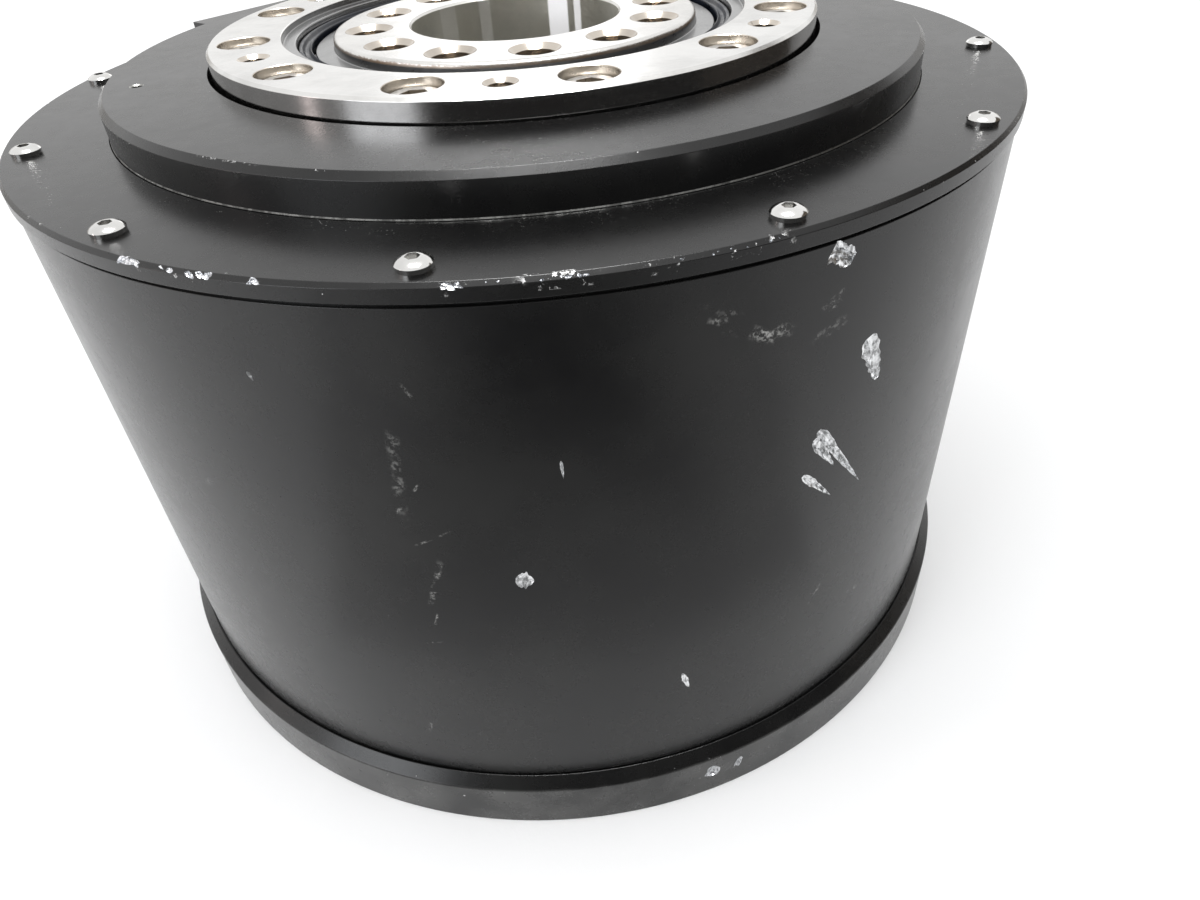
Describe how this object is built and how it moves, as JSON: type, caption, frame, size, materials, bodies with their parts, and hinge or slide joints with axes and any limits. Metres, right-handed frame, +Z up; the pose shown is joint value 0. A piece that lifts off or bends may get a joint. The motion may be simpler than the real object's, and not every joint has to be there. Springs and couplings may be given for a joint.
{
  "type": "planetary gearbox",
  "caption": "Hollow-shaft planetary gearbox in a black drum housing, with a crossed roller output bearing, tapped output flange and coaxial input hub.",
  "frame": {"origin": "middle of the base's underside, on the gearbox axis", "axes": "+Z up along the gearbox axis, from the input side in the base to the output flange; the camera side of the reference picture is -Y"},
  "size_m": [0.2244, 0.2244, 0.1472],
  "materials": {
    "black_anodised": "black satin anodised, machined, with bright chips on its edges",
    "ground_steel": "ground and honed, light rust staining in the groove",
    "raw_steel": "turned steel",
    "gear_steel": "hardened and ground gear steel",
    "screw_steel": "plain steel socket screws",
    "stainless": "bright stainless button heads",
    "bronze": "sintered bronze bush",
    "seal_rubber": "dark blue-black oil-wet seal"
  },
  "bodies": {
    "housing": {"base_plate": "black_anodised", "can_shell": "black_anodised", "cover_plate": "black_anodised", "bearing_carrier": "black_anodised", "ring_gear": "gear_steel", "bearing_outer_ring": "ground_steel", "output_oil_seal": "seal_rubber", "input_bearing_outer_race": "raw_steel", "input_oil_seal": "seal_rubber", "cover_screw_01": "stainless", "cover_screw_02": "stainless", "cover_screw_03": "stainless", "cover_screw_04": "stainless", "cover_screw_05": "stainless", "cover_screw_06": "stainless", "cover_screw_07": "stainless", "cover_screw_08": "stainless", "cover_screw_09": "stainless", "cover_screw_10": "stainless", "cover_screw_11": "stainless", "cover_screw_12": "stainless", "ring_screw_01": "screw_steel", "ring_screw_02": "screw_steel", "ring_screw_03": "screw_steel", "ring_screw_04": "screw_steel", "ring_screw_05": "screw_steel", "ring_screw_06": "screw_steel", "ring_screw_07": "screw_steel", "ring_screw_08": "screw_steel", "ring_screw_09": "screw_steel", "ring_screw_10": "screw_steel", "ring_screw_11": "screw_steel", "ring_screw_12": "screw_steel"},
    "output": {"output_flange": "ground_steel", "output_carrier": "raw_steel", "output_carrier_lower_plate": "raw_steel", "hollow_tube": "raw_steel", "second_stage_pin_1": "raw_steel", "second_stage_pin_2": "raw_steel", "second_stage_pin_3": "raw_steel"},
    "roller_cage": {"roller_cage": "gear_steel"},
    "first_carrier": {"second_sun_gear": "gear_steel", "first_carrier_plate": "raw_steel", "first_stage_pin_1": "raw_steel", "first_stage_pin_2": "raw_steel", "first_stage_pin_3": "raw_steel"},
    "input": {"first_sun_gear": "gear_steel", "input_hub": "raw_steel", "input_bearing_inner_race": "raw_steel"},
    "input_balls": {"input_bearing_balls": "gear_steel"},
    "second_planet_1": {"second_stage_planet_1": "gear_steel", "second_stage_bush_1": "bronze"},
    "second_planet_2": {"second_stage_planet_2": "gear_steel", "second_stage_bush_2": "bronze"},
    "second_planet_3": {"second_stage_planet_3": "gear_steel", "second_stage_bush_3": "bronze"},
    "first_planet_1": {"first_stage_planet_1": "gear_steel"},
    "first_planet_2": {"first_stage_planet_2": "gear_steel"},
    "first_planet_3": {"first_stage_planet_3": "gear_steel"}
  },
  "joints": [
    {"name": "output_spin", "type": "hinge", "parent": "housing", "child": "output", "pos_m": [0, 0, 0.1461], "axis": [0, 0, 1], "continuous": true},
    {"name": "roller_cage_spin", "type": "hinge", "parent": "housing", "child": "roller_cage", "pos_m": [0, 0, 0.1364], "axis": [0, 0, 1], "continuous": true},
    {"name": "first_carrier_spin", "type": "hinge", "parent": "housing", "child": "first_carrier", "pos_m": [0, 0, 0.0505], "axis": [0, 0, 1], "continuous": true},
    {"name": "input_spin", "type": "hinge", "parent": "housing", "child": "input", "pos_m": [0, 0, 0.001], "axis": [0, 0, 1], "continuous": true},
    {"name": "input_balls_spin", "type": "hinge", "parent": "housing", "child": "input_balls", "pos_m": [0, 0, 0.014], "axis": [0, 0, 1], "continuous": true},
    {"name": "second_planet_1_spin", "type": "hinge", "parent": "output", "child": "second_planet_1", "pos_m": [0.05625, 0, 0.0785], "axis": [0, 0, 1], "continuous": true},
    {"name": "second_planet_2_spin", "type": "hinge", "parent": "output", "child": "second_planet_2", "pos_m": [-0.02813, 0.04871, 0.0785], "axis": [0, 0, 1], "continuous": true},
    {"name": "second_planet_3_spin", "type": "hinge", "parent": "output", "child": "second_planet_3", "pos_m": [-0.02813, -0.04871, 0.0785], "axis": [0, 0, 1], "continuous": true},
    {"name": "first_planet_1_spin", "type": "hinge", "parent": "first_carrier", "child": "first_planet_1", "pos_m": [0.02813, 0.04871, 0.0355], "axis": [0, 0, 1], "continuous": true},
    {"name": "first_planet_2_spin", "type": "hinge", "parent": "first_carrier", "child": "first_planet_2", "pos_m": [-0.05625, 0, 0.0355], "axis": [0, 0, 1], "continuous": true},
    {"name": "first_planet_3_spin", "type": "hinge", "parent": "first_carrier", "child": "first_planet_3", "pos_m": [0.02813, -0.04871, 0.0355], "axis": [0, 0, 1], "continuous": true}
  ],
  "couplings": [
    {"joint": "roller_cage_spin", "follows": "output_spin", "ratio": 0.47},
    {"joint": "first_carrier_spin", "follows": "output_spin", "ratio": 3.75},
    {"joint": "input_spin", "follows": "output_spin", "ratio": 14.062},
    {"joint": "input_balls_spin", "follows": "output_spin", "ratio": 6.3816},
    {"joint": "second_planet_1_spin", "follows": "output_spin", "ratio": -3.1429},
    {"joint": "second_planet_2_spin", "follows": "output_spin", "ratio": -3.1429},
    {"joint": "second_planet_3_spin", "follows": "output_spin", "ratio": -3.1429},
    {"joint": "first_planet_1_spin", "follows": "output_spin", "ratio": -11.786},
    {"joint": "first_planet_2_spin", "follows": "output_spin", "ratio": -11.786},
    {"joint": "first_planet_3_spin", "follows": "output_spin", "ratio": -11.786}
  ]
}
